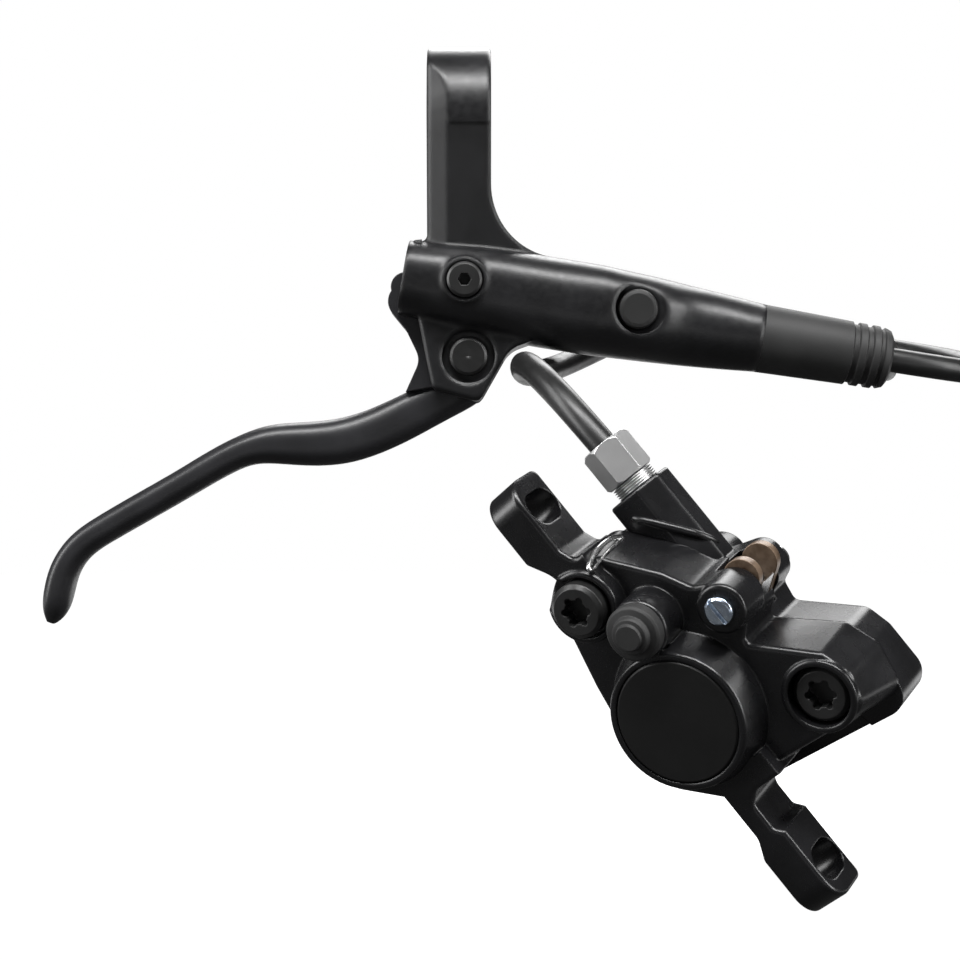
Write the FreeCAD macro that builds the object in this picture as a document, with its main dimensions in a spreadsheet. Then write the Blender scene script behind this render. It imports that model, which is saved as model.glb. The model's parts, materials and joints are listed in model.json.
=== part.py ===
import FreeCAD, Part
import math
import os
import re
import Sketcher
from FreeCAD import Placement, Rotation, Vector

# Hydraulic disc brake for a bicycle: a brake lever with its master cylinder, a brake hose,
# and a two-piston caliper with post mount ears. Millimetres. The origin is the middle of the
# handlebar clamp, X runs along the handlebar, Z points up the lever's face and Y away from
# the rider's eye. Both units are modelled in a frame of their own: x and y in the plane of
# the unit, z towards the eye.

doc = FreeCAD.newDocument("HydraulicDiscBrake")

# Driving dimensions
DIMENSIONS = [
    ("bar_radius", 11.1, "handlebar clamp, 22.2 mm bar"),
    ("clamp_wall", 3.3, "band round the bar"),
    ("clamp_width", 12.8, "band along the bar"),
    ("clamp_slit", 1.8, "gap that the clamp bolt closes"),
    ("clamp_lug_height", 6.5, "upper clamp lug"),
    ("clamp_bolt_radius", 2.5, "M5 clamp bolt"),
    ("clamp_bolt_back", 19.4, "clamp bolt axis behind the bar axis"),
    ("clamp_bevel", 4.4, "bevel on the left edge of the band"),
    ("strap_lean", 11.0, "degrees that the strap's face falls back"),
    ("strap_sweep", 14.0, "radius from the strap into the cylinder"),
    ("cylinder_slope", 9.4, "degrees that the cylinder runs down to the right"),
    ("cylinder_left", -11.0, "left end of the cylinder, x"),
    ("cylinder_height", -32.7, "left end of the cylinder, y"),
    ("cylinder_forward", 3.0, "cylinder axis in front of the bar axis"),
    ("cylinder_length", 72.8, "cylinder body along its axis"),
    ("cylinder_left_radius", 7.7, "outside at the left end"),
    ("cylinder_belly_radius", 9.2, "outside at the belly"),
    ("cylinder_belly_at", 29.0, "belly from the left end"),
    ("cylinder_end_radius", 6.9, "outside at the hose end"),
    ("reservoir_front", 11.8, "reservoir face in front of the cylinder axis"),
    ("bore_radius", 5.0, "master cylinder bore"),
    ("bore_start", 10.4, "bore mouth from the left end"),
    ("bore_end", 54.0, "bore end from the left end"),
    ("slot_half", 4.25, "half of the slot that takes the lever"),
    ("slot_roof", 6.1, "slot above the cylinder axis"),
    ("barrel_wall", 1.75, "barrel under the bore, over the lever's slot"),
    ("pivot_x", 1.9, "lever pivot"),
    ("pivot_y", -48.7, "lever pivot"),
    ("ear_half", 7.2, "outer face of the pivot ears from their middle"),
    ("hub_radius", 6.2, "lever hub"),
    ("hub_half", 4.0, "half of the hub's thickness"),
    ("axle_radius", 2.5, "lever axle"),
    ("bush_wall", 0.7, "bushes in the lever hub"),
    ("cap_radius", 3.9, "round head of the lever axle"),
    ("running_gap", 0.05, "radial clearance of a shaft in its hole"),
    ("seat_gap", 0.3, "clearance between a piece and its seat"),
    ("cam_radius", 3.0, "nose of the lever that pushes the piston"),
    ("cam_drop", 1.8, "nose below the cylinder axis"),
    ("cam_at", 0.6, "nose from the left end"),
    ("chin_radius", 3.7, "round underside of the lever's nose"),
    ("pushrod_radius", 1.6, "pushrod"),
    ("pushrod_head", 2.6, "radius of the pushrod's flat head"),
    ("lever_travel", 18.0, "degrees that the lever turns"),
    ("piston_length", 16.0, "master piston"),
    ("bleed_screw_radius", 3.5, "head of the bleed screw"),
    ("bleed_screw_at", 12.2, "bleed screw from the left end"),
    ("bleed_boss_radius", 4.5, "raised rim round the bleed screw"),
    ("plug_radius", 3.9, "reservoir plug"),
    ("plug_at", 46.9, "reservoir plug from the left end"),
    ("plug_lift", 0.75, "plug and bleed screw above the cylinder axis"),
    ("boot_length", 26.4, "rubber boot on the hose"),
    ("boot_radius", 6.9, "rubber boot"),
    ("hose_radius", 2.5, "brake hose"),
    ("nut_flats", 8.0, "across the flats of the flange nuts"),
    ("nut_length", 7.4, "hexagon of the flange nuts"),
    ("thread_radius", 3.6, "M8 thread of the flange nuts"),
    ("caliper_across", 37.96, "middle of the post mounts, X"),
    ("caliper_near", -76.0, "middle of the post mounts, Y"),
    ("caliper_up", -106.35, "middle of the post mounts, Z"),
    ("caliper_roll", 51.2, "degrees that the post mount line runs down"),
    ("caliper_turn", 33.0, "degrees that the caliper turns about that line"),
    ("caliper_tilt", 5.0, "degrees that its lower end leans to the eye"),
    ("mount_spacing", 74.2, "post mount holes"),
    ("mount_offset", 8.0, "post mount holes outboard of the rotor"),
    ("mount_slot_radius", 3.1, "half of the slot's width, for an M6 bolt"),
    ("mount_slot_length", 9.0, "slot end to end"),
    ("ear_width", 10.8, "post mount ear along the axle"),
    ("ear_thickness", 6.5, "post mount ear"),
    ("ear_end", 6.2, "ear beyond its hole"),
    ("half_depth", 16.4, "caliper half from the rotor plane"),
    ("web_depth", 10.6, "web of a caliper half"),
    ("rotor_radius", 80.0, "160 mm rotor"),
    ("rotor_room", 2.0, "half of the rotor slot"),
    ("pad_radius", 71.5, "piston axis from the rotor's centre"),
    ("pad_lean", 31.0, "degrees that the pads lean from the mount's normal"),
    ("piston_x", 4.2, "piston axis"),
    ("piston_y", -1.0, "piston axis"),
    ("slave_radius", 10.0, "caliper piston"),
    ("slave_length", 9.5, "caliper piston"),
    ("cover_radius", 10.7, "cover of the outboard bore"),
    ("boss_radius", 11.8, "rim of the outboard bore's boss"),
    ("boss_foot", 16.4, "foot of the outboard bore's boss"),
    ("back_boss_radius", 12.5, "round boss of the inboard bore"),
    ("pad_gap", 1.4, "half of the gap between the pad linings"),
    ("lining_thickness", 1.9, "pad lining"),
    ("plate_thickness", 1.7, "pad plate"),
    ("body_bolt_radius", 3.0, "M6 body bolts"),
    ("body_bolt_head", 4.7, "head of the body bolts"),
    ("left_bolt_x", -19.8, "left body bolt"),
    ("left_bolt_y", -3.0, "left body bolt"),
    ("right_bolt_x", 14.6, "right body bolt"),
    ("right_bolt_y", 19.4, "right body bolt"),
    ("left_seat", 12.2, "left bolt seat from the rotor plane"),
    ("right_seat", 6.2, "right bolt seat from the rotor plane"),
    ("nipple_x", -11.4, "bleed nipple"),
    ("nipple_y", 4.7, "bleed nipple"),
    ("crossover_x", -11.5, "oil passage through both halves"),
    ("crossover_y", 7.6, "oil passage through both halves"),
    ("pad_axle_x", -5.8, "pad axle"),
    ("pad_axle_y", 16.6, "pad axle"),
    ("pad_axle_radius", 1.3, "pad axle"),
    ("port_y", 9.0, "hose port axis"),
    ("port_depth", 5.0, "hose port axis inboard of the rotor"),
    ("port_face", -29.6, "face of the hose port, x"),
    ("port_boss", 4.9, "boss of the hose port"),
    ("coil_radius", 27.5, "middle of the hose turns"),
    ("coil_along", 80.7, "middle of the coil from the cylinder's left end"),
    ("coil_back", 62.4, "middle of the coil behind the cylinder axis"),
    ("coil_lift", 5.4, "degrees that the coil rises to the back"),
]
sheet = doc.addObject("Spreadsheet::Sheet", "dims")
for row, (alias, value, note) in enumerate(DIMENSIONS, 1):
    sheet.set("A%d" % row, alias)
    sheet.set("B%d" % row, str(value))
    sheet.set("C%d" % row, note)
    sheet.setAlias("B%d" % row, alias)
doc.recompute()

ALIASES = [entry[0] for entry in DIMENSIONS]
EYE = Vector(0, 0, 1)
FULL_TURN = 360
# Bodies that are cut get tools that run past the faces by this much
PAST = 1.0


def size(text):
    """Value of a dimension, or of a sum written with the dimensions' names."""
    return float(sheet.evalExpression(str(text)))


def bound(text):
    """The same sum, with each name pointing at its cell."""
    return re.sub(r"[A-Za-z_]+", lambda word: "dims." + word.group() if word.group() in ALIASES
                  else word.group(), str(text))


# Frames of the two units
LEVER_FRAME = Placement(Vector(), Rotation(Vector(1, 0, 0), 90))
CALIPER_TURNED = (Rotation(Vector(0, 1, 0), size("caliper_roll"))
                  * Rotation(Vector(0, 0, 1), -size("caliper_tilt"))
                  * Rotation(Vector(1, 0, 0), 90 + size("caliper_turn")))
CALIPER_FRAME = (Placement(Vector(size("caliper_across"), size("caliper_near"), size("caliper_up")),
                           CALIPER_TURNED)
                 * Placement(Vector(0, 0, -size("mount_offset")), Rotation()))
SLOPE = math.radians(size("cylinder_slope"))
AXIS = Vector(math.cos(SLOPE), -math.sin(SLOPE), 0)
ACROSS = Vector(math.sin(SLOPE), math.cos(SLOPE), 0)
CYLINDER_START = Vector(size("cylinder_left"), size("cylinder_height"), size("cylinder_forward"))


def on_axis(along, up=0.0, forward=0.0):
    """Point of the lever unit, measured along the cylinder axis, up from it and to the eye."""
    return CYLINDER_START + AXIS * along + ACROSS * up + EYE * forward


# Sketched bodies
def origin_plane(body, role):
    for feature in body.Origin.OriginFeatures:
        if feature.Role == role:
            return feature


def new_sketch(body, name, role, lift="0"):
    sketch = body.newObject("Sketcher::SketchObject", name)
    sketch.AttachmentSupport = (origin_plane(body, role), [""])
    sketch.MapMode = "FlatFace"
    if lift != "0":
        sketch.setExpression("AttachmentOffset.Base.z", bound(lift))
    return sketch


def hold(sketch, kind, first, second, text):
    """One dimension of a sketch, bound to the sheet."""
    number = sketch.addConstraint(Sketcher.Constraint(kind, *first, *second, size(text)))
    sketch.setExpression("Constraints[%d]" % number, bound(text))


def polygon(body, name, role, corners, lift="0"):
    sketch = new_sketch(body, name, role, lift)
    points = [Vector(size(across), size(up), 0) for across, up in corners]
    count = len(points)
    for index in range(count):
        sketch.addGeometry(Part.LineSegment(points[index], points[(index + 1) % count]), False)
    for index in range(count):
        sketch.addConstraint(Sketcher.Constraint("Coincident", index, 2, (index + 1) % count, 1))
    for index, (across, up) in enumerate(corners):
        hold(sketch, "DistanceX", (-1, 1), (index, 1), across)
        hold(sketch, "DistanceY", (-1, 1), (index, 1), up)
    return sketch


def circle(body, name, role, centre, radius, lift="0"):
    sketch = new_sketch(body, name, role, lift)
    sketch.addGeometry(Part.Circle(Vector(size(centre[0]), size(centre[1]), 0), EYE, size(radius)))
    hold(sketch, "DistanceX", (-1, 1), (0, 3), centre[0])
    hold(sketch, "DistanceY", (-1, 1), (0, 3), centre[1])
    hold(sketch, "Radius", (0,), (), radius)
    return sketch


def placed(body, frame, at, along=EYE):
    body.Placement = frame * Placement(at, Rotation(EYE, along))
    return body


def new_body(label):
    body = doc.addObject("PartDesign::Body", label)
    body.Label = label
    return body


def turned(label, section, frame, at, along=EYE):
    """Body of revolution: the section's corners are radius and height along its axis."""
    body = new_body(label)
    sketch = polygon(body, label + "_section", "XZ_Plane", section)
    spin = body.newObject("PartDesign::Revolution", label + "_turned")
    spin.Profile = sketch
    spin.ReferenceAxis = (sketch, ["V_Axis"])
    spin.Angle = FULL_TURN
    return placed(body, frame, at, along)


def pocket(body, sketch, depth, upward=False):
    """Cut from the sketch's plane down, or up where upward is set."""
    doc.recompute()
    before = body.Shape.Volume
    cut = body.newObject("PartDesign::Pocket", sketch.Name + "_cut")
    cut.Profile = sketch
    cut.setExpression("Length", bound(depth))
    cut.Reversed = upward
    doc.recompute()
    if body.Shape.Volume >= before:
        raise ValueError("no cut made by " + sketch.Name)
    return cut


def hexagon(flats):
    """Corners of a hexagon, as sums of the sheet's names."""
    half = "(%s) / 2" % flats
    point = "(%s) / 3 * 3 ^ 0.5" % flats
    side = "(%s) / 6 * 3 ^ 0.5" % flats
    return [(point, "0"), (side, half), ("-" + side, half), ("-" + point, "0"),
            ("-" + side, "-" + half), (side, "-" + half)]


def hex_socket(body, flats, top, depth):
    """Blind hexagon in the top face of a head."""
    sketch = polygon(body, body.Label + "_socket", "XY_Plane", hexagon(flats), top)
    pocket(body, sketch, depth)


def star_socket(body, radius, top, depth):
    """Blind six-lobed socket: a round core and six round lobes."""
    core = circle(body, body.Label + "_core", "XY_Plane", ("0", "0"), radius + " * 0.78", top)
    pocket(body, core, depth)
    lobe = circle(body, body.Label + "_lobe", "XY_Plane", (radius + " * 0.76", "0"),
                  radius + " * 0.24", top)
    cut = pocket(body, lobe, depth)
    lobes = body.newObject("PartDesign::PolarPattern", body.Label + "_lobes")
    lobes.Originals = [cut]
    lobes.Axis = (lobe, ["N_Axis"])
    lobes.Angle = FULL_TURN
    lobes.Occurrences = 6
    body.Tip = lobes
    return body


# Shapes for castings and other free forms
def solid_part(label, shape, frame):
    part = doc.addObject("Part::Feature", label)
    part.Label = label
    part.Shape = shape
    part.Placement = frame * shape.Placement
    return part


def rounded_face(corners):
    """Flat face from corners (x, y, corner radius), with tangent arcs at the corners."""
    count = len(corners)
    points = [Vector(x, y, 0) for x, y, radius in corners]
    starts = []
    ends = []
    middles = []
    for index, (x, y, radius) in enumerate(corners):
        here = points[index]
        back = (points[index - 1] - here).normalize()
        ahead = (points[(index + 1) % count] - here).normalize()
        half = back.getAngle(ahead) / 2
        reach = radius / math.tan(half)
        starts.append(here + back * reach)
        ends.append(here + ahead * reach)
        inward = (back + ahead).normalize()
        middles.append(here + inward * (radius / math.sin(half) - radius))
    edges = []
    for index in range(count):
        if corners[index][2] > 0:
            edges.append(Part.Arc(starts[index], middles[index], ends[index]).toShape())
        after = (index + 1) % count
        if (starts[after] - ends[index]).Length > 1e-6:
            edges.append(Part.LineSegment(ends[index], starts[after]).toShape())
    return Part.Face(Part.Wire(edges))


def slab(corners, low, high):
    """Rounded outline from z low to z high."""
    face = rounded_face(corners)
    face.translate(Vector(0, 0, low))
    return face.extrude(Vector(0, 0, high - low))


def disc(centre, radius, low, high):
    return Part.makeCylinder(radius, high - low, Vector(centre[0], centre[1], low), EYE)


def frustum(centre, low_radius, high_radius, low, high):
    return Part.makeCone(low_radius, high_radius, high - low, Vector(centre[0], centre[1], low), EYE)


def rim_edges(shape, height):
    """Edges that lie wholly at one height z."""
    return [edge for edge in shape.Edges
            if abs(edge.BoundBox.ZMin - height) < 1e-4 and abs(edge.BoundBox.ZMax - height) < 1e-4]


def soft_top(shape, height, radius):
    """Round the edges of the flat end at one height."""
    return shape.makeFillet(radius, rim_edges(shape, height))


def strap_between(first, first_radius, second, second_radius, low, high):
    """Two round ends joined by their outer tangents, from z low to z high."""
    gap = Vector(second[0] - first[0], second[1] - first[1], 0)
    lean = math.asin((first_radius - second_radius) / gap.Length)
    course = math.atan2(gap.y, gap.x)
    corners = []
    for side in (1, -1):
        angle = course + side * (math.pi / 2 - lean)
        out = Vector(math.cos(angle), math.sin(angle), 0)
        corners.append((Vector(first[0], first[1], low) + out * first_radius,
                        Vector(second[0], second[1], low) + out * second_radius))
    (a, b), (d, c) = corners
    middle = Part.Face(Part.makePolygon([a, b, c, d, a])).extrude(Vector(0, 0, high - low))
    ends = [disc(first, first_radius, low, high), disc(second, second_radius, low, high)]
    return middle.multiFuse(ends).removeSplitter()


def solid_of(shape):
    """The one solid of a boolean's result."""
    solids = shape.removeSplitter().Solids
    if len(solids) != 1:
        raise ValueError("expected one solid, found %d" % len(solids))
    return solids[0]


# Master cylinder casting
def clamp_bevel(half, outer):
    """Wedge off the strap's left edge: straight down the strap, then fading round the bar."""
    wide = size("clamp_bevel")
    steep = 0.55
    lean = size("strap_lean")
    sideways = Vector(1, 0, 0)

    def wedge(angle, share):
        left = -half - PAST
        corners = [Vector(left, 0, outer + PAST), Vector(left, 0, outer - steep * (wide * share + PAST)),
                   Vector(-half + wide * share + PAST, 0, outer + steep * PAST)]
        wire = Part.makePolygon(corners + corners[:1])
        wire.rotate(Vector(), sideways, -angle)
        return wire

    fading = [(-lean, 1.0), (0, 1.0), (11, 0.98), (22, 0.86), (32, 0.55), (40, 0.18), (46, 0.02)]
    fall = Vector(0, -math.cos(math.radians(lean)), -math.sin(math.radians(lean)))
    straight = Part.Face(wedge(-lean, 1.0)).extrude(fall * (outer * 1.8))
    return [straight, Part.makeLoft([wedge(angle, share) for angle, share in fading], True, True)]


def clamp_casting():
    """Band round the bar, strap down to the cylinder, and the two lugs of the clamp bolt."""
    half = size("clamp_width") / 2
    bar = size("bar_radius")
    outer = bar + size("clamp_wall")
    lean = size("strap_lean")
    sideways = Vector(1, 0, 0)
    slit_top = -(bar - 3.4)
    slit_low = slit_top - size("clamp_slit")
    lug_top = slit_top + size("clamp_lug_height")
    lug_back = size("clamp_bolt_back") + size("clamp_bolt_radius") * 1.9
    foot = size("cylinder_height") - 2
    ring = Part.makeCylinder(outer, 2 * half, Vector(-half, 0, 0), sideways)
    ring = ring.makeFillet(0.6, [edge for edge in ring.Edges if edge.Curve.TypeId == "Part::GeomCircle"])
    # The strap sweeps into the top line of the cylinder
    corner = on_axis(17.5, size("cylinder_belly_radius") - 0.2)
    sweep = size("strap_sweep")
    meet = corner + AXIS * (half - corner.x)
    far = corner + AXIS * (sweep + 2)
    strap = slab([(-half, 0, 0), (half, 0, 0), (half, meet.y, sweep), (far.x, far.y, 0), (far.x, foot, 0),
                  (-half - 2.8, foot, 0), (-half - 2.8, meet.y + 0.9, 0.6), (-half, meet.y + 1.2, 1.2)],
                 -4.0, outer)
    rim = [edge for edge in strap.Edges if abs(edge.CenterOfMass.z - outer) < 1e-4
           and edge.CenterOfMass.x > half - 0.1 and edge.BoundBox.YMax > meet.y]
    strap = strap.makeFillet(0.6, rim)
    face = Part.makeBox(60, 60, 20, Vector(-30, -60, outer))
    face.rotate(Vector(), sideways, lean)

    def on_face(x, y):
        """Point of the strap's leaning face."""
        fall = math.radians(lean)
        return Vector(x, y, (outer - math.sin(fall) * -y) / math.cos(fall))

    # Where the strap sweeps out, its face also falls back to the right
    top = on_face(half, -12)
    inner = on_face(0, -27)
    outside = Vector(22, -29, size("cylinder_forward") + 2.5)
    fallen = Part.makeBox(90, 90, 30, Vector(-45, -45, 0))
    fallen.Placement = Placement(top, Rotation(EYE, (inner - top).cross(outside - top)))
    strap = strap.cut([face, fallen])
    under = slab([(-half, slit_low, 0), (half, slit_low, 0), (half, -26, 0), (-half, -26, 0)],
                 -lug_back, 2.0)
    under = under.makeFillet(3.0, [edge for edge in under.Edges
                                   if edge.BoundBox.ZMax < -lug_back + 0.1 and edge.BoundBox.YMax < -25])
    upper_lug = slab([(-half, slit_top, 0), (half, slit_top, 0), (half, lug_top, 0), (-half, lug_top, 0)],
                     -lug_back, -bar + 1.0)
    casting = ring.multiFuse([strap, under, upper_lug])
    bore = Part.makeCylinder(bar, 2 * half + 2 * PAST, Vector(-half - PAST, 0, 0), sideways)
    slit = Part.makeBox(2 * half + 2 * PAST, size("clamp_slit"), lug_back,
                        Vector(-half - PAST, slit_low, -lug_back - PAST))
    screw_room = Part.makeCylinder(size("clamp_bolt_radius") + 0.25, slit_top + 30,
                                   Vector(0, slit_low - 9, -size("clamp_bolt_back")), Vector(0, 1, 0))
    return casting.cut([bore, slit, screw_room] + clamp_bevel(half, outer))


def cylinder_radius(along):
    """Outside radius of the cylinder, a smooth belly between its two ends."""
    belly = size("cylinder_belly_at")
    top = size("cylinder_belly_radius")
    end = size("cylinder_left_radius") if along < belly else size("cylinder_end_radius")
    reach = belly if along < belly else size("cylinder_length") - belly
    share = abs(along - belly) / reach
    return top - (top - end) * share ** 1.8


def body_section(along, front):
    """Closed section of the body: round behind, and a fuller, flatter reservoir in front."""
    radius = cylinder_radius(along)
    fullness = 2 / (2 + 0.7 * (front - radius) / (size("reservoir_front") - radius + 0.1))
    points = []
    for step in range(24):
        angle = 2 * math.pi * step / 24
        up = math.cos(angle)
        forward = math.sin(angle)
        power = fullness if forward > 0 else 1
        deep = front if forward > 0 else radius
        points.append(Vector(along, math.copysign(abs(up) ** power, up) * radius,
                             math.copysign(abs(forward) ** power, forward) * deep))
    ring = Part.BSplineCurve()
    ring.interpolate(points, PeriodicFlag=True)
    return Part.Wire(ring.toShape())


def cylinder_casting():
    """Barrel with its reservoir, boss of the bleed screw and pivot ears, before the bores."""
    length = size("cylinder_length")
    front = size("reservoir_front")
    # The reservoir keeps its depth past the plug, then falls to the barrel in a round shoulder
    falls = [(0, 0), (8, 0), (20, 0), (34, 0), (44, 0.1), (49, 0.5), (52.5, 1.3), (55, 2.4), (57.5, 3.3)]
    stations = [(along, front - fall) for along, fall in falls]
    stations += [(along, cylinder_radius(along)) for along in (61, 66, length)]
    both = Part.makeLoft([body_section(along, deep) for along, deep in stations], True, False)
    at = size("bleed_screw_at")
    lift = size("plug_lift")
    rim = size("bleed_boss_radius")
    boss = soft_top(frustum((at, lift), rim + 1.3, rim, front - 5, front + 0.9), front + 0.9, 0.5)
    both = both.fuse(boss)
    both.Placement = Placement(CYLINDER_START, Rotation(Vector(1, 0, 0), AXIS))
    middle = size("cylinder_forward")
    ear = size("ear_half")
    px = size("pivot_x")
    py = size("pivot_y")
    ears = slab([(px - 10.7, py + 10.7, 0), (px - 7.2, py - 6.5, 1.6), (px + 1.9, py - 9.0, 1.2),
                 (px + 2.9, py - 7.9, 0.8), (px + 8.3, py + 1.6, 6), (px + 22, py + 6.4, 2),
                 (px + 20, py + 14, 1), (px - 9.6, py + 16, 1)], middle - ear, middle + ear)
    ears = soft_top(ears, middle + ear, 0.9)
    ears = soft_top(ears, middle - ear, 0.9)
    return both.fuse(ears)


def master_cylinder_body():
    middle = size("cylinder_forward")
    px = size("pivot_x")
    py = size("pivot_y")
    casting = cylinder_casting().fuse(clamp_casting())
    along = Rotation(Vector(1, 0, 0), AXIS)
    # Slot for the lever: high at the left end for its nose, lower round its hub
    slot_half = size("slot_half")
    hub_room = size("hub_radius") + 0.6
    slot_end = size("bore_start") - 0.2
    bore_start = size("bore_start")
    bore_end = size("bore_end")
    length = size("cylinder_length")
    gap = size("running_gap")
    high = slab([(-9, -30, 0), (slot_end, -30, 0), (slot_end, size("slot_roof"), 1.5), (-9, size("slot_roof"), 0)],
                -slot_half, slot_half)
    high.Placement = Placement(CYLINDER_START, along)
    hub = strap_between((px, py), hub_room, (px - 2, py - 20), hub_room + 6,
                        middle - slot_half, middle + slot_half)
    under = Part.makeBox(6, 9, 2 * slot_half,
                         Vector(bore_start - 2, -9 - size("bore_radius") - size("barrel_wall"), -slot_half))
    under.Placement = Placement(CYLINDER_START, along)
    bore = Part.makeCylinder(size("bore_radius"), bore_end, on_axis(0), AXIS)
    passage = Part.makeCylinder(1.2, length, on_axis(bore_end - PAST), AXIS)
    port = Part.makeCylinder(size("thread_radius") + gap, 14, on_axis(length - 12.8), AXIS)
    mouth = Part.makeCylinder(size("bore_radius") + 0.5, 1.2, on_axis(bore_start + 0.6), AXIS)
    axle = Part.makeCylinder(size("axle_radius") + gap, 40, Vector(px, py, middle - 20), EYE)
    cap = disc((px, py), size("cap_radius") + 1.4, middle + size("ear_half") - 1.2, middle + 20)
    clip = disc((px, py), 4.6, middle - 20, middle - size("ear_half") + 1.2)
    front = size("reservoir_front")
    lift = size("plug_lift")
    plug = size("plug_radius")
    plug_room = Part.makeCylinder(plug + 1.1, 4.0, on_axis(size("plug_at") + 0.4, lift + 0.2, front - 1.7), EYE)
    plug_bore = Part.makeCylinder(plug + gap, 6.0, on_axis(size("plug_at"), lift, front - 5.2), EYE)
    screw_at = size("bleed_screw_at")
    screw_hole = Part.makeCylinder(2.2, 6.0, on_axis(screw_at, lift, front - 4.6), EYE)
    screw_room = Part.makeCylinder(size("bleed_screw_radius") + 0.3, 4.0, on_axis(screw_at, lift, front), EYE)
    return solid_of(casting.cut([high, hub, under, bore, passage, port, mouth, axle, cap, clip, plug_room,
                                 plug_bore, screw_hole, screw_room]))


solid_part("master_cylinder_body", master_cylinder_body(), LEVER_FRAME)


# Brake lever
CAM_NOSE = on_axis(size("cam_at"), -size("cam_drop"))
CHIN = on_axis(1.2, -4.6)
PIVOT = Vector(size("pivot_x"), size("pivot_y"), size("cylinder_forward"))
# The nose pushes the rod's flat head along the cylinder as the lever turns
HEAD_AT = size("cam_at") + size("cam_radius") + 0.15
NOSE_PUSHED = PIVOT + Rotation(EYE, -size("lever_travel")).multVec(CAM_NOSE - PIVOT)
NOSE_TRAVEL = (NOSE_PUSHED - CAM_NOSE).dot(AXIS)


def pushrod_relief(share):
    """Room in the lever for the rod's head, at one share of the lever's travel."""
    reach = size("pushrod_head") + 0.4
    room = Part.makeBox(12, 2 * reach, 4 * size("hub_half"), Vector(0, -reach, -2 * size("hub_half")))
    room.Placement = Placement(on_axis(HEAD_AT - 0.1 + NOSE_TRAVEL * share), Rotation(Vector(1, 0, 0), AXIS))
    room.rotate(PIVOT, EYE, size("lever_travel") * share)
    return room


def blade_section(centre, course, width, depth):
    """Closed smooth section of the blade, square to its course."""
    side = Vector(-course.y, course.x, 0)
    squareness = 2 / 2.7
    points = []
    for step in range(16):
        angle = 2 * math.pi * step / 16
        across = math.copysign(abs(math.cos(angle)) ** squareness, math.cos(angle)) * width / 2
        rise = math.copysign(abs(math.sin(angle)) ** squareness, math.sin(angle)) * depth / 2
        points.append(centre + side * across + EYE * rise)
    ring = Part.BSplineCurve()
    ring.interpolate(points, PeriodicFlag=True)
    return Part.Wire(ring.toShape())


def barrel_relief(share):
    """Room in the lever for the barrel's mouth, at one share of the lever's travel."""
    under = size("bore_radius") + size("barrel_wall") + size("seat_gap")
    room = Part.makeBox(40, 40, 4 * size("hub_half"), Vector(0, -under, -2 * size("hub_half")))
    start = on_axis(size("bore_start") - 0.2 - size("seat_gap"))
    room.Placement = Placement(start, Rotation(Vector(1, 0, 0), AXIS))
    room.rotate(PIVOT, EYE, size("lever_travel") * share)
    return room


def lever_blade():
    """Hub, nose and curved finger blade, forged in one piece."""
    middle = size("cylinder_forward")
    px = size("pivot_x")
    py = size("pivot_y")
    thick = 2 * size("hub_half")
    # Course of the blade from the pivot: x, y, width, depth
    stations = [(0.8, -4.3, 8.0, thick - 0.8), (-5.0, -7.9, 8.6, thick - 0.6), (-10.2, -10.6, 8.8, thick - 0.4),
                (-14.4, -12.7, 9.0, thick + 0.1), (-18.4, -14.5, 9.1, thick + 0.8),
                (-25.7, -16.7, 9.2, thick + 2.2), (-34.0, -17.3, 8.7, thick + 2.8), (-41.3, -17.6, 7.4, thick + 3),
                (-45.4, -18.7, 6.4, thick + 3), (-49.3, -20.5, 6.1, thick + 3), (-56.4, -24.6, 5.9, thick + 3),
                (-64.9, -29.5, 5.9, thick + 3), (-73.2, -34.3, 5.8, thick + 3), (-78.6, -38.2, 5.6, thick + 2.8),
                (-81.5, -42.5, 5.6, thick + 2.4), (-82.8, -46.9, 5.7, thick + 1.6), (-83.5, -50.1, 5.1, thick),
                (-84.1, -52.1, 3.6, thick - 2.4), (-84.6, -53.4, 1.6, thick - 5.2)]
    count = len(stations)
    rings = []
    for index, (x, y, width, depth) in enumerate(stations):
        before = stations[max(index - 1, 0)]
        after = stations[min(index + 1, count - 1)]
        course = Vector(after[0] - before[0], after[1] - before[1], 0).normalize()
        rings.append(blade_section(Vector(px + x, py + y, middle), course, width, depth))
    blade = Part.makeLoft(rings, True, False)
    low = middle - size("hub_half")
    high = middle + size("hub_half")
    hub = (px, py)
    arm = strap_between(hub, size("hub_radius"), (CAM_NOSE.x, CAM_NOSE.y), size("cam_radius"), low, high)
    chin = strap_between(hub, size("hub_radius"), (CHIN.x, CHIN.y), size("chin_radius"), low, high)
    web = slab([(px - 14, py + 8.5, 0), (px - 9.7, py - 0.4, 4), (px - 12.6, py - 6.9, 0), (px - 2, py - 5, 0),
                (px - 2, py + 6, 0)], low, high)
    sleeve = size("axle_radius") + size("running_gap") + size("bush_wall")
    reliefs = [relief(share / 4) for share in range(5) for relief in (pushrod_relief, barrel_relief)]
    eye = disc(hub, sleeve, low - PAST, high + PAST)
    return solid_of(blade.multiFuse([arm, chin, web]).cut([eye] + reliefs))


solid_part("lever_blade", lever_blade(), LEVER_FRAME)

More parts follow.
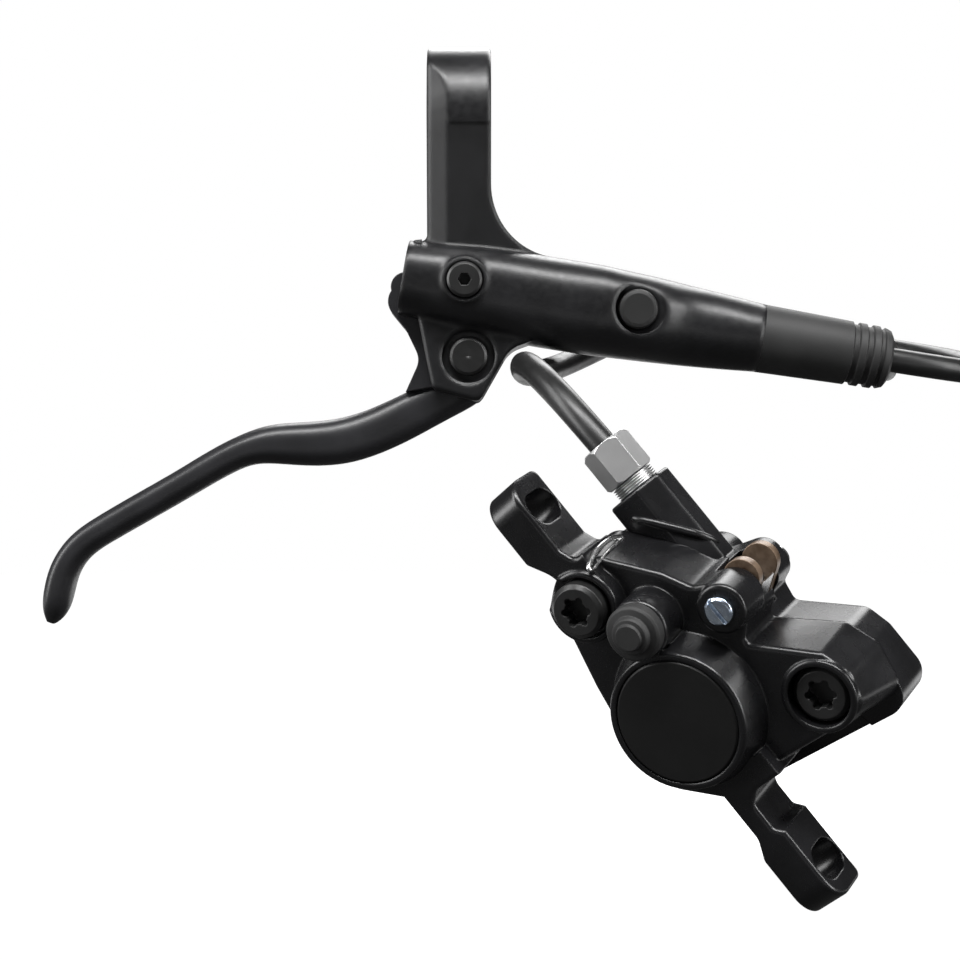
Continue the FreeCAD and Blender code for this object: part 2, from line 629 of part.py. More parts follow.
EAR_FLOOR = size("ear_half") - 1.2
turned("lever_axle", [("0", "-2 * ear_half + 1.1"), ("axle_radius - 0.3", "-2 * ear_half + 1.1"),
                      ("axle_radius", "-2 * ear_half + 1.4"), ("axle_radius", "-2 * ear_half + 1.5"),
                      ("axle_radius - 0.5", "-2 * ear_half + 1.5"), ("axle_radius - 0.5", "-2 * ear_half + 2.3"),
                      ("axle_radius", "-2 * ear_half + 2.3"), ("axle_radius", "0"), ("cap_radius", "0"),
                      ("cap_radius", "0.7"), ("cap_radius - 0.2", "1.1"), ("cap_radius - 0.7", "1.4"),
                      ("0", "1.5")], LEVER_FRAME, PIVOT + EYE * EAR_FLOOR)
for name, start in (("lever_bush_front", 0.1), ("lever_bush_rear", -size("hub_half"))):
    turned(name, [("axle_radius + running_gap", "0"), ("axle_radius + running_gap + bush_wall", "0"),
                  ("axle_radius + running_gap + bush_wall", "hub_half - 0.1"),
                  ("axle_radius + running_gap", "hub_half - 0.1")], LEVER_FRAME, PIVOT + EYE * start)


def split_ring(label, inner, outer, thick, mouth, frame, at, along=EYE):
    """Flat spring ring with a mouth that lets it be sprung on."""
    body = new_body(label)
    ring = new_sketch(body, label + "_ring", "XY_Plane")
    half = math.asin(size(mouth) / 2 / size(inner))
    inside = size(inner)
    outside = size(outer)
    for radius in (inside, outside):
        ring.addGeometry(Part.ArcOfCircle(Part.Circle(Vector(), EYE, radius), half, 2 * math.pi - half), False)
    ends = [[Vector(radius * math.cos(angle), radius * math.sin(angle), 0) for radius in (inside, outside)]
            for angle in (half, -half)]
    for start, stop in ends:
        ring.addGeometry(Part.LineSegment(start, stop), False)
    for first, second in (((0, 1), (2, 1)), ((1, 1), (2, 2)), ((0, 2), (3, 1)), ((1, 2), (3, 2))):
        ring.addConstraint(Sketcher.Constraint("Coincident", *first, *second))
    ring.addConstraint(Sketcher.Constraint("Coincident", 0, 3, -1, 1))
    ring.addConstraint(Sketcher.Constraint("Coincident", 1, 3, -1, 1))
    hold(ring, "Radius", (0,), (), inner)
    hold(ring, "Radius", (1,), (), outer)
    flat = body.newObject("PartDesign::Pad", label + "_flat")
    flat.Profile = ring
    flat.setExpression("Length", bound(thick))
    return placed(body, frame, at, along)


split_ring("axle_clip", "axle_radius - 0.5", "axle_radius + 1.8", "0.7", "2.6", LEVER_FRAME,
           PIVOT - EYE * (EAR_FLOOR + 0.85))

# Pieces in the master cylinder bore, from the lever to the hose
PISTON_BACK = 12.5
turned("pushrod", [("0", "0"), ("pushrod_head - 0.3", "0"), ("pushrod_head", "0.3"),
                   ("pushrod_head", "1.3"), ("pushrod_radius", "1.9"), ("pushrod_radius", "9.0"),
                   ("pushrod_radius * 0.7", "9.9"), ("0", "10.2")],
       LEVER_FRAME, on_axis(HEAD_AT), AXIS)
split_ring("piston_circlip", "bore_radius - 1.4", "bore_radius + 0.4", "1.0", "3.2", LEVER_FRAME,
           on_axis(size("bore_start") + 0.7), AXIS)
turned("master_piston", [("0", "1.7"), ("1.5", "1.3"), ("2.3", "0"), ("bore_radius - running_gap", "0"),
                         ("bore_radius - running_gap", "1.4"), ("bore_radius - 1.5", "1.4"),
                         ("bore_radius - 1.5", "3.8"), ("bore_radius - running_gap", "3.8"),
                         ("bore_radius - running_gap", "5.0"), ("bore_radius - 2.1", "5.6"),
                         ("bore_radius - 2.1", "piston_length - 5.6"),
                         ("bore_radius - running_gap", "piston_length - 5.0"),
                         ("bore_radius - running_gap", "piston_length - 3.8"),
                         ("bore_radius - 1.5", "piston_length - 3.8"), ("bore_radius - 1.5", "piston_length - 1.2"),
                         ("bore_radius - 0.6", "piston_length - 1.2"), ("bore_radius - 0.9", "piston_length"),
                         ("0", "piston_length")], LEVER_FRAME, on_axis(PISTON_BACK), AXIS)
for name, start in (("secondary_cup", 1.45), ("primary_cup", size("piston_length") - 3.75)):
    turned(name, [("bore_radius - 1.5", "0"), ("bore_radius - 0.3", "0"), ("bore_radius - 0.03", "1.4"),
                  ("bore_radius - 0.03", "2.2"), ("bore_radius - 0.8", "1.5"), ("bore_radius - 1.5", "2.3")],
           LEVER_FRAME, on_axis(PISTON_BACK + start), AXIS)


def piston_return_spring():
    """Coil spring between the piston and the bore's end, at its fitted length."""
    wire = 0.45
    turns = 5.0
    sides = 6
    mean = size("bore_radius") - 1.2
    length = size("bore_end") - PISTON_BACK - size("piston_length") - 2 * wire - 0.1
    pitch = length / turns
    outward = Vector(1, 0, 0)
    over = Vector(0, 2 * math.pi * mean, pitch).normalize().cross(outward)
    corners = []
    for side in range(sides):
        angle = 2 * math.pi * side / sides
        corners.append(outward * (mean + wire * math.cos(angle)) + over * (wire * math.sin(angle)))
    section = Part.makePolygon(corners + corners[:1])
    helix = Part.Wire(Part.makeHelix(pitch, length, mean))
    return helix.makePipeShell([section], True, True)


solid_part("piston_return_spring", piston_return_spring(),
           LEVER_FRAME * Placement(on_axis(PISTON_BACK + size("piston_length") + 0.5), Rotation(EYE, AXIS)))

# Reservoir plug with its rubber, and the bleed screw
FRONT = size("reservoir_front")
LIFTED = size("plug_lift")
turned("reservoir_diaphragm", [("0", "1.2"), ("plug_radius - 1.6", "1.2"), ("plug_radius - 1.1", "0"),
                               ("plug_radius - 0.1", "0"), ("plug_radius - 0.1", "2.4"), ("0", "2.4")],
       LEVER_FRAME, on_axis(size("plug_at"), LIFTED, FRONT - 5.15))
turned("reservoir_plug", [("0", "0"), ("plug_radius - 0.4", "0"), ("plug_radius", "0.4"), ("plug_radius", "2.2"),
                          ("plug_radius - 0.25", "2.6"), ("plug_radius - 0.9", "2.8"), ("0", "2.8")],
       LEVER_FRAME, on_axis(size("plug_at"), LIFTED, FRONT - 2.7))
turned("bleed_screw_seal", [("2.25", "0"), ("3.1", "0"), ("3.3", "0.25"), ("3.1", "0.5"), ("2.25", "0.5")],
       LEVER_FRAME, on_axis(size("bleed_screw_at"), LIFTED, FRONT + 0.02))
screw = turned("bleed_screw", [("0", "-4.2"), ("1.8", "-4.2"), ("2.1", "-3.9"), ("2.1", "0.15"),
                               ("bleed_screw_radius - 0.2", "0.15"), ("bleed_screw_radius", "0.4"),
                               ("bleed_screw_radius", "0.9"), ("bleed_screw_radius - 0.5", "1.3"), ("0", "1.3")],
               LEVER_FRAME, on_axis(size("bleed_screw_at"), LIFTED, FRONT + 0.4))
hex_socket(screw, "2.3", "1.3", "1.7")

# Clamp bolt behind the bar
LUG_TOP = size("clamp_lug_height") - size("bar_radius") + 3.4
bolt = turned("clamp_bolt", [("0", "-15.5"), ("clamp_bolt_radius - 0.5", "-15.5"), ("clamp_bolt_radius", "-15.0"),
                             ("clamp_bolt_radius", "0"), ("clamp_bolt_radius * 1.65", "0"),
                             ("clamp_bolt_radius * 1.7", "0.3"), ("clamp_bolt_radius * 1.7", "4.4"),
                             ("clamp_bolt_radius * 1.5", "5.0"), ("0", "5.0")],
              LEVER_FRAME, Vector(0, LUG_TOP, -size("clamp_bolt_back")), Vector(0, 1, 0))
hex_socket(bolt, "4.0", "5.0", "2.6")


# Hose fittings, the same at both ends
def flange_nut(label, frame, at, along):
    """Hexagon with a thread ahead of it; height 0 is the hexagon's inner face."""
    body = turned(label, [("hose_radius + 0.1", "-9"), ("thread_radius - 0.4", "-9"), ("thread_radius", "-8.6"),
                          ("thread_radius", "-0.9"), ("thread_radius - 0.5", "-0.6"), ("thread_radius - 0.5", "0"),
                          ("nut_flats * 0.52", "0"), ("nut_flats * 0.577", "0.5"),
                          ("nut_flats * 0.577", "nut_length - 0.7"), ("nut_flats * 0.5", "nut_length"),
                          ("hose_radius + 0.5", "nut_length"), ("hose_radius + 0.1", "nut_length - 0.5")],
                  frame, at, along)
    flats = polygon(body, label + "_flats", "XY_Plane", hexagon("nut_flats"))
    flats.addGeometry(Part.Circle(Vector(), EYE, size("nut_flats")), False)
    hold(flats, "Radius", (6,), (), "nut_flats")
    flats.addConstraint(Sketcher.Constraint("Coincident", 6, 3, -1, 1))
    pocket(body, flats, "nut_length", upward=True)
    return body


def olive(label, frame, at, along):
    return turned(label, [("hose_radius + 0.02", "0"), ("thread_radius - 0.7", "0"), ("thread_radius - 0.2", "0.8"),
                          ("thread_radius - 0.2", "1.8"), ("thread_radius - 0.7", "2.6"),
                          ("hose_radius + 0.02", "2.6")], frame, at, along)


def insert(label, frame, at, along):
    """Barbed tube in the hose's end, with a flange against the port."""
    return turned(label, [("0.55", "0"), ("hose_radius", "0"), ("hose_radius", "0.6"), ("1.0", "0.6"),
                          ("1.15", "2.0"), ("1.0", "2.0"), ("1.15", "3.8"), ("1.0", "3.8"), ("1.15", "5.6"),
                          ("1.0", "6.4"), ("0.55", "6.4")], frame, at, along)


NUT_FACE = size("cylinder_length") + 0.6
flange_nut("lever_flange_nut", LEVER_FRAME, on_axis(NUT_FACE), AXIS)
olive("lever_olive", LEVER_FRAME, on_axis(NUT_FACE - 11.7), AXIS)
insert("lever_hose_insert", LEVER_FRAME, on_axis(NUT_FACE - 13.3), AXIS)

turned("hose_boot", [("nut_flats * 0.6", "0"), ("boot_radius", "0"), ("boot_radius", "0.3"),
                     ("boot_radius - 0.45", "boot_length - 8.4"), ("boot_radius - 1.0", "boot_length - 8.1"),
                     ("boot_radius - 1.0", "boot_length - 7.2"), ("boot_radius - 0.5", "boot_length - 6.9"),
                     ("boot_radius - 0.5", "boot_length - 5.6"), ("boot_radius - 1.05", "boot_length - 5.3"),
                     ("boot_radius - 1.05", "boot_length - 4.4"), ("boot_radius - 0.55", "boot_length - 4.1"),
                     ("boot_radius - 0.55", "boot_length - 2.9"), ("boot_radius - 1.1", "boot_length - 2.6"),
                     ("boot_radius - 1.1", "boot_length - 2.0"), ("boot_radius - 0.7", "boot_length - 1.7"),
                     ("boot_radius - 1.1", "boot_length - 0.6"), ("boot_radius - 2.1", "boot_length"),
                     ("hose_radius + 0.1", "boot_length"), ("hose_radius + 0.1", "nut_length + 4"),
                     ("nut_flats * 0.6", "nut_length + 1.4")], LEVER_FRAME, on_axis(size("cylinder_length")), AXIS)


# Caliper. Local z runs outboard from the rotor plane; pads lean about that axis
PISTON = Vector(size("piston_x"), size("piston_y"), 0)
LEAN = math.radians(size("pad_lean"))
OUTWARD = Vector(-math.sin(LEAN), math.cos(LEAN), 0)
ROTOR_CENTRE = PISTON - OUTWARD * size("pad_radius")
PAD_FRAME = Placement(PISTON, Rotation(EYE, size("pad_lean")))
PLATE_FACE = size("pad_gap") + size("lining_thickness")
PLATE_BACK = PLATE_FACE + size("plate_thickness")
CHAMBER_END = PLATE_BACK + size("slave_length") + 0.5
LEFT_BOLT = (size("left_bolt_x"), size("left_bolt_y"))
RIGHT_BOLT = (size("right_bolt_x"), size("right_bolt_y"))
NIPPLE = (size("nipple_x"), size("nipple_y"))
CROSSOVER = (size("crossover_x"), size("crossover_y"))
PAD_AXLE = (size("pad_axle_x"), size("pad_axle_y"))
INWARD = EYE * -1

# Outlines of the halves at their outer faces and at the rotor plane: x, y and corner radius
OUTBOARD_FACE = [(-25, -8.5, 5), (-25.5, 2.5, 4), (-16.5, 10.5, 4), (-11.5, 13.5, 3), (-9.6, 17.6, 2),
                 (-2.4, 18.4, 2), (0.9, 14.6, 1), (9.3, 24.2, 1.2), (14.5, 26, 3), (20.4, 24, 3.5),
                 (19.2, 4, 3), (20, -6, 3), (13, -14, 6), (5, -15.5, 9), (-8, -13, 4)]
OUTBOARD_ROOT = [(-26, -9.3, 5), (-26.8, 3.2, 4), (-17, 11.8, 4), (-12.2, 14.4, 3), (-10.4, 18.6, 2),
                 (-2.0, 19.4, 2), (0.5, 15.6, 1), (8.6, 26.0, 1.2), (14.4, 28.2, 3), (22.6, 26.4, 3.5),
                 (21.2, 4, 3), (21.4, -6.8, 3), (13.6, -15, 6), (5, -16.4, 9), (-8.3, -13.8, 4)]
INBOARD_FACE = [(-25, -8.5, 5), (-25.5, 2.5, 4), (-16.5, 9.5, 4), (-12.6, 10.2, 1.5), (-9.8, 19.6, 3.6),
                (-3.4, 19.4, 3.0), (-2.0, 16.0, 1.2), (1.6, 15.3, 1.5), (9.6, 25.0, 3), (14, 26.2, 3),
                (25.4, 26.1, 4), (22.3, -5, 4), (13, -13, 5), (5, -14.5, 9), (-8, -12, 4)]
# Pad plate, lining and the room for both, from the piston axis
PLATE = [(-11, -9, 3), (11, -9, 3), (11.3, 3, 2), (8, 8.8, 2), (-8, 8.8, 2), (-11.3, 3, 2)]
LINING = [(-10.2, -8.2, 2.5), (10.2, -8.2, 2.5), (10.2, 2, 2), (6.6, 6.6, 2), (-6.6, 6.6, 2), (-10.2, 2, 2)]
PAD_ROOM = [(-11.5, -32, 0), (11.5, -32, 0), (11.8, 3.2, 2), (8.3, 9.4, 1.5), (-8.3, 9.4, 1.5), (-11.8, 3.2, 2)]
TAB_HOLE = PAD_FRAME.inverse().multVec(Vector(PAD_AXLE[0], PAD_AXLE[1], 0))
TAB_AT = (TAB_HOLE.x - 0.3, TAB_HOLE.y + 2.8)
TAB_RADIUS = 3.1


def drafted(low_corners, high_corners, high):
    """Casting with draft: one outline at the rotor plane and one at the outer face."""
    root = rounded_face(low_corners).OuterWire
    face = rounded_face(high_corners).OuterWire
    face.translate(Vector(0, 0, high))
    return Part.makeLoft([root, face], True, True)


def post_mount_ear(side):
    """One post mount ear; side is -1 for the left ear and 1 for the right one."""
    tip = size("mount_spacing") / 2 + size("ear_end")
    under = -size("ear_thickness")
    low = size("mount_offset") - size("ear_width") / 2
    high = low + size("ear_width")
    if side > 0:
        root = [(27.5, -4.8, 3), (16, -4.8, 0), (16, 6, 0), (20.8, 6, 0), (20.8, -1.5, 3), (27.3, -1.5, 1.2),
                (28.8, 0, 0.4)]
    else:
        root = [(-29.5, 0, 1), (-26.8, 1.2, 1.5), (-26.8, 3, 0), (-19, 3, 0), (-19, -4.8, 0), (-27.5, -4.8, 3)]
    outer = [(side * tip, 0, 0), (side * tip, under, 0), (side * 31, under, 2)]
    if side < 0:
        outer.reverse()
    arm = slab(outer + root, low, high)
    # The ear's end is rounder on the outboard side
    for height, share in ((high, 0.44), (low, 0.12)):
        plan = [edge for edge in arm.Edges if edge.BoundBox.YLength > 5
                and abs(abs(edge.CenterOfMass.x) - tip) < 0.1 and abs(edge.CenterOfMass.z - height) < 0.1]
        arm = arm.makeFillet(size("ear_width") * share, plan)
    rim = [edge for edge in arm.Edges if edge.BoundBox.YLength < 1e-4
           and abs(edge.CenterOfMass.y) < 1e-4 and abs(edge.CenterOfMass.x) > 33]
    return arm.makeFillet(0.8, rim)


def mount_slot(side):
    """Slot for the mounting bolt, along the axle."""
    radius = size("mount_slot_radius")
    reach = size("mount_slot_length") / 2 - radius
    x = side * size("mount_spacing") / 2
    deep = size("ear_thickness") + 2 * PAST
    down = Vector(0, -1, 0)
    ends = [Part.makeCylinder(radius, deep, Vector(x, PAST, size("mount_offset") + end * reach), down)
            for end in (-1, 1)]
    corner = Vector(x - radius, PAST - deep, size("mount_offset") - reach)
    middle = Part.makeBox(2 * radius, deep, 2 * reach, corner)
    return middle.multiFuse(ends)


def pad_room():
    """Pocket of both pads, open at the rotor's side and at the outside."""
    room = slab(PAD_ROOM, -PAST, PLATE_BACK + size("seat_gap"))
    window = slab([(TAB_AT[0] - 4.1, 5, 0), (TAB_AT[0] + 4.1, 5, 0), (TAB_AT[0] + 4.1, 40, 0),
                   (TAB_AT[0] - 4.1, 40, 0)], -PAST, PLATE_BACK + size("seat_gap"))
    both = room.fuse(window)
    both.Placement = PAD_FRAME
    return both


def half_cuts():
    """Rooms and holes that both halves share, for z from the rotor plane outwards."""
    gap = size("running_gap")
    bore = size("slave_radius") + gap
    centre = (PISTON.x, PISTON.y)
    oil = Vector(CROSSOVER[0], CROSSOVER[1], 0)
    course = (PISTON - oil).normalize()
    drill = Part.makeCylinder(0.8, (PISTON - oil).Length - bore + PAST,
                              oil + EYE * (CHAMBER_END - 0.9), course)
    return [disc((ROTOR_CENTRE.x, ROTOR_CENTRE.y), size("rotor_radius") + 1.5, -PAST, size("rotor_room")),
            pad_room(), disc(centre, bore, 0, CHAMBER_END), disc(centre, bore + 1.7, 8.0, 10.0), drill,
            disc(CROSSOVER, 1.3, -PAST, CHAMBER_END - 0.9),
            disc(PAD_AXLE, size("pad_axle_radius") + gap, -PAST, 30)]


def outboard_half():
    web = size("web_depth")
    deep = size("half_depth")
    left_seat = size("left_seat")
    right_top = web + 0.6
    head = size("body_bolt_head")
    middle = (PISTON.x, PISTON.y)
    core = soft_top(drafted(OUTBOARD_ROOT, OUTBOARD_FACE, web), web, 0.9)
    boss = soft_top(frustum(middle, size("boss_foot"), size("boss_radius"), 2, deep), deep, 0.5)
    left = soft_top(frustum(LEFT_BOLT, 7.4, 6.3, 0, left_seat + 1.8), left_seat + 1.8, 0.7)
    right = soft_top(frustum(RIGHT_BOLT, 7.4, 6.2, 0, right_top), right_top, 0.5)
    nipple = soft_top(frustum(NIPPLE, 5.8, 4.9, 0, 17), 17, 0.8)
    lug = soft_top(frustum(PAD_AXLE, 4.6, 4.2, 5.4, 13), 13, 0.7)
    casting = core.multiFuse([boss, left, right, nipple, lug, post_mount_ear(-1), post_mount_ear(1)])
    bolt = size("body_bolt_radius") + 0.2
    # The left head sits in a recess with a trough that runs out down to the left
    lead = Vector(-0.85, -0.53, 0)
    seat = Vector(LEFT_BOLT[0], LEFT_BOLT[1], left_seat + 2.4)
    trough = Part.makeCylinder(3.2, 12, seat + lead * 2, lead)
    cuts = half_cuts() + [mount_slot(-1), mount_slot(1), trough,
                          disc(middle, size("cover_radius") + size("running_gap"), CHAMBER_END, 30),
                          disc(LEFT_BOLT, bolt, -PAST, 30), disc(LEFT_BOLT, head + 0.6, left_seat, 30),
                          disc(RIGHT_BOLT, bolt, -PAST, 30), disc(RIGHT_BOLT, head + 0.5, size("right_seat"), 30),
                          disc(NIPPLE, 3.0, CHAMBER_END - 2.6, 30)]
    return solid_of(casting.cut(cuts))


def port_arm():
    """Bar with a flat face to the outboard side that takes the hose's nut, for the inboard half."""
    y = size("port_y")
    z = size("port_depth")
    arm = slab([(y - 4.8, z - 4.7, 1.2), (y + 1.8, z - 4.8, 0.5), (y + 5.1, z - 1.2, 1.5), (y + 5.1, z + 3.5, 2),
                (y + 2.5, z + 5.0, 2), (y - 4.8, z + 5.0, 2)], size("port_face"), -8)
    arm.Placement = Placement(Vector(), Rotation(Vector(0, 1, 0), EYE, Vector(1, 0, 0), "XYZ"))
    end = [edge for edge in arm.Edges if edge.BoundBox.XMax < size("port_face") + 1e-3]
    return arm.makeFillet(0.5, end)


def inboard_half():
    web = size("web_depth") + 1.4
    deep = size("half_depth")
    rim = size("back_boss_radius")
    core = soft_top(slab(INBOARD_FACE, 0, web), web, 1.0)
    boss = soft_top(frustum((PISTON.x, PISTON.y), rim + 0.9, rim, 0, deep), deep, 1.4)
    left = soft_top(frustum(LEFT_BOLT, 6.6, 6.0, 0, web + 1.4), web + 1.4, 0.8)
    oil = soft_top(frustum(CROSSOVER, 5.0, 4.4, 0, deep), deep, 1.0)
    casting = core.multiFuse([boss, left, oil, port_arm()])
    gap = size("running_gap")
    bolt = size("body_bolt_radius") + gap
    sideways = Vector(1, 0, 0)
    port_start = Vector(size("port_face"), size("port_y"), size("port_depth"))
    cuts = half_cuts() + [disc(LEFT_BOLT, bolt, -PAST, 11.5), disc(RIGHT_BOLT, bolt, -PAST, 10.5),
                          disc(CROSSOVER, 3.5, -PAST, 1.2),
                          Part.makeCylinder(size("thread_radius") + gap, 11.05, port_start, sideways),
                          Part.makeCylinder(1.5, CROSSOVER[0] - size("port_face"), port_start, sideways)]
    return solid_of(casting.cut(cuts).mirror(Vector(), EYE))


solid_part("caliper_outboard_half", outboard_half(), CALIPER_FRAME)
solid_part("caliper_inboard_half", inboard_half(), CALIPER_FRAME)

for name, seat, length, (across, up) in (("body_bolt_left", "left_seat", "left_seat + 10.5", LEFT_BOLT),
                                         ("body_bolt_right", "right_seat", "right_seat + 9.5", RIGHT_BOLT)):
    bolt = turned(name, [("0", "-(%s)" % length), ("body_bolt_radius - 0.6", "-(%s)" % length),
                         ("body_bolt_radius", "0.6 - (%s)" % length), ("body_bolt_radius", "0"),
                         ("body_bolt_head - 0.2", "0"), ("body_bolt_head", "0.3"), ("body_bolt_head", "3.3"),
                         ("body_bolt_head - 0.7", "4.0"), ("0", "4.0")],
                  CALIPER_FRAME, Vector(across, up, size(seat)))
    star_socket(bolt, "2.7", "4.0", "2.6")

turned("crossover_o_ring", [("2.1", "0.3"), ("2.4", "0"), ("3.1", "0"), ("3.4", "0.3"), ("3.4", "0.85"),
                            ("3.1", "1.15"), ("2.4", "1.15"), ("2.1", "0.85")],
       CALIPER_FRAME, Vector(CROSSOVER[0], CROSSOVER[1], -1.17))

# Pistons, seals, pads: the inboard ones are the outboard ones turned over
for name, along in (("outboard", EYE), ("inboard", INWARD)):
    turned(name + "_piston", [("0", "3.6"), ("slave_radius - 2.6", "3.6"), ("slave_radius - 2.4", "0"),
                              ("slave_radius - 0.5", "0"), ("slave_radius", "0.5"),
                              ("slave_radius", "slave_length - 0.6"), ("slave_radius - 0.6", "slave_length"),
                              ("0", "slave_length")], CALIPER_FRAME, PISTON + along * PLATE_BACK, along)
    turned(name + "_piston_seal", [("slave_radius + 0.02", "0"), ("slave_radius + 1.7", "0"),
                                   ("slave_radius + 1.7", "1.9"), ("slave_radius + 0.02", "1.9")],
           CALIPER_FRAME, PISTON + along * 8.05, along)
turned("outboard_bore_cover", [("0", "0"), ("cover_radius", "0"), ("cover_radius", "1.1"),
                               ("cover_radius - 0.4", "1.5"), ("0", "1.5")],
       CALIPER_FRAME, PISTON + EYE * CHAMBER_END)


def pad_plate(side):
    low, high = sorted((side * PLATE_FACE, side * PLATE_BACK))
    plate = slab(PLATE, low, high)
    tab = strap_between((TAB_AT[0], 6), TAB_RADIUS, TAB_AT, TAB_RADIUS, low, high)
    plate = plate.fuse(tab)
    plate.Placement = PAD_FRAME
    return solid_of(plate.cut(disc(PAD_AXLE, size("pad_axle_radius") + 0.08, low - PAST, high + PAST)))


def pad_lining(side):
    """Friction block with a groove down its middle."""
    low, high = sorted((side * size("pad_gap"), side * PLATE_FACE))
    groove_low, groove_high = sorted((side * (size("pad_gap") - PAST), side * (size("pad_gap") + 1.2)))
    block = slab(LINING, low, high)
    groove = Part.makeBox(1.2, 40, groove_high - groove_low, Vector(-0.6, -20, groove_low))
    block = block.cut(groove)
    block.Placement = PAD_FRAME
    return solid_of(block)


for name, side in (("outboard", 1), ("inboard", -1)):
    solid_part(name + "_pad_plate", pad_plate(side), CALIPER_FRAME)
    solid_part(name + "_pad_lining", pad_lining(side), CALIPER_FRAME)


def pad_spring():
    """Bent spring strip between the two plates, with a wing along the top of each lining."""
    sheet_thick = 0.25
    out = PLATE_FACE - 0.05
    middle = TAB_AT[0]
    pieces = []
    for side in (1, -1):
        low = out - sheet_thick if side > 0 else -out
        pieces.append(Part.makeBox(6.2, 8.0, sheet_thick, Vector(middle - 3.1, 7.2, low)))
        pieces.append(Part.makeBox(15.0, 1.6, sheet_thick, Vector(-7.5, 7.0, low)))
    # A leaf stands up beside the tabs
    pieces.append(Part.makeBox(sheet_thick, 7.5, 5.2, Vector(middle + 3.1 - sheet_thick, 15.0, -2.6)))
    bridge = Part.makeBox(6.2, sheet_thick, 2 * out, Vector(middle - 3.1, 15.2 - sheet_thick, -out))
    spring = bridge.multiFuse(pieces)
    spring.Placement = PAD_FRAME
    return solid_of(spring)


solid_part("pad_spring", pad_spring(), CALIPER_FRAME)

axle = turned("pad_axle", [("0", "-26.4"), ("pad_axle_radius - 0.3", "-26.4"), ("pad_axle_radius", "-26.1"),
                           ("pad_axle_radius", "-25.8"), ("pad_axle_radius - 0.35", "-25.8"),
                           ("pad_axle_radius - 0.35", "-25.1"), ("pad_axle_radius", "-25.1"),
                           ("pad_axle_radius", "0"), ("2.4", "0"), ("2.4", "0.9"), ("2.0", "1.3"), ("0", "1.3")],
              CALIPER_FRAME, Vector(PAD_AXLE[0], PAD_AXLE[1], 13))
slot = polygon(axle, "pad_axle_slot", "XY_Plane", [("-3", "-0.35"), ("3", "-0.35"), ("3", "0.35"), ("-3", "0.35")],
               "1.3")
pocket(axle, slot, "0.7")
split_ring("pad_axle_clip", "pad_axle_radius - 0.35", "pad_axle_radius + 1.2", "0.5", "1.3", CALIPER_FRAME,
           Vector(PAD_AXLE[0], PAD_AXLE[1], 13 - 25.7))

turned("bleed_nipple", [("0", "-4.2"), ("1.2", "-4.2"), ("2.95", "-2.8"), ("2.95", "0.05"), ("3.8", "0.05"),
                        ("3.8", "1.4"), ("3.4", "1.7"), ("1.95", "1.7"), ("1.7", "2.6"), ("1.95", "3.0"),
                        ("1.6", "3.4"), ("0", "3.4")], CALIPER_FRAME, Vector(NIPPLE[0], NIPPLE[1], 17))
turned("bleed_nipple_cap", [("3.9", "0.1"), ("4.7", "0.1"), ("4.7", "1.9"), ("4.3", "2.3"), ("3.3", "2.5"),
                            ("3.1", "3.2"), ("2.9", "3.5"), ("2.3", "3.6"), ("2.1", "4.1"), ("0", "4.1"),
                            ("0", "3.5"), ("2.0", "3.5"), ("2.0", "1.8"), ("3.9", "1.8")],
       CALIPER_FRAME, Vector(NIPPLE[0], NIPPLE[1], 17))

# Hose fittings of the caliper
LEFTWARD = Vector(-1, 0, 0)
CALIPER_NUT = Vector(size("port_face") - 2.3, size("port_y"), -size("port_depth"))
flange_nut("caliper_flange_nut", CALIPER_FRAME, CALIPER_NUT, LEFTWARD)
olive("caliper_olive", CALIPER_FRAME, CALIPER_NUT - LEFTWARD * 11.7, LEFTWARD)
insert("caliper_hose_insert", CALIPER_FRAME, CALIPER_NUT - LEFTWARD * 13.3, LEFTWARD)

# Brake hose. Corner points by hand, world millimetres; the coil lies behind the lever unit
WORLD_AXIS = LEVER_FRAME.Rotation.multVec(AXIS)
WORLD_ACROSS = LEVER_FRAME.Rotation.multVec(ACROSS)
LIFT = math.radians(size("coil_lift"))
COIL_BACK = Vector(0, 1, 0) * math.cos(LIFT) + WORLD_ACROSS * math.sin(LIFT)
COIL_NORMAL = WORLD_AXIS.cross(COIL_BACK)


def behind(along, back, over=0.0):
    """World point of the coil's plane: along the cylinder, back from it and over the plane."""
    return LEVER_FRAME.multVec(on_axis(along)) + COIL_BACK * back + COIL_NORMAL * over


def hose_tube(label, points, bore=1.25):
    """Hollow tube: straight runs joined by tangent arcs, then its radii are printed."""
    edges = []
    here = points[0]
    radii = []
    for index in range(1, len(points) - 1):
        corner = points[index]
        back = points[index - 1] - corner
        ahead = points[index + 1] - corner
        reach = 0.45 * min(back.Length, ahead.Length)
        back.normalize()
        ahead.normalize()
        half = (math.pi - back.getAngle(ahead)) / 2
        radius = reach / math.tan(half)
        radii.append(round(radius, 1))
        first = corner + back * reach
        last = corner + ahead * reach
        inward = (back + ahead).normalize()
        middle = corner + inward * (radius / math.cos(half) - radius)
        edges.append(Part.LineSegment(here, first).toShape())
        edges.append(Part.Arc(first, middle, last).toShape())
        here = last
    edges.append(Part.LineSegment(here, points[-1]).toShape())
    spine = Part.Wire(edges)
    course = (points[1] - points[0]).normalize()
    rings = [Part.Wire(Part.makeCircle(radius, points[0], course)) for radius in (size("hose_radius"), bore)]
    outer, inner = [spine.makePipeShell([ring], True, False) for ring in rings]
    print(label, "bend radii", radii)
    return outer.cut(inner)


